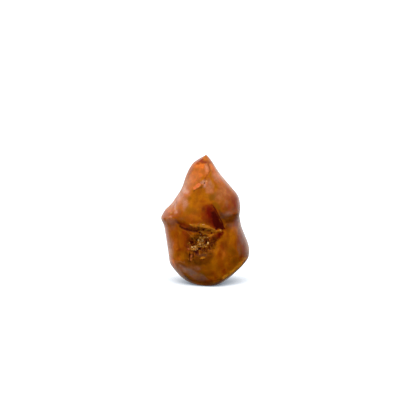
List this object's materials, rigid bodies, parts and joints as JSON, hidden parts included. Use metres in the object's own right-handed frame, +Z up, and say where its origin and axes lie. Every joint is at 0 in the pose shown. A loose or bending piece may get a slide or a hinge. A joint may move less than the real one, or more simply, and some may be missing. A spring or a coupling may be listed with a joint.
{
  "type": "carnelian flame carving",
  "caption": "Polished stone flame: a twisted pointed freeform with a crystal-lined hollow in front, standing on a small flat foot.",
  "frame": {"origin": "on the surface it stands on, under the middle of the whole stone", "axes": "+Z up to the tip, -Y out of the front with the hollow, +X to the right seen from the front"},
  "size_m": [0.0422, 0.029, 0.062],
  "materials": {
    "carnelian": "polished",
    "druzy": "natural small crystals"
  },
  "bodies": {
    "root": {"flame_stone": "carnelian", "druzy_crust": "druzy"}
  },
  "joints": []
}
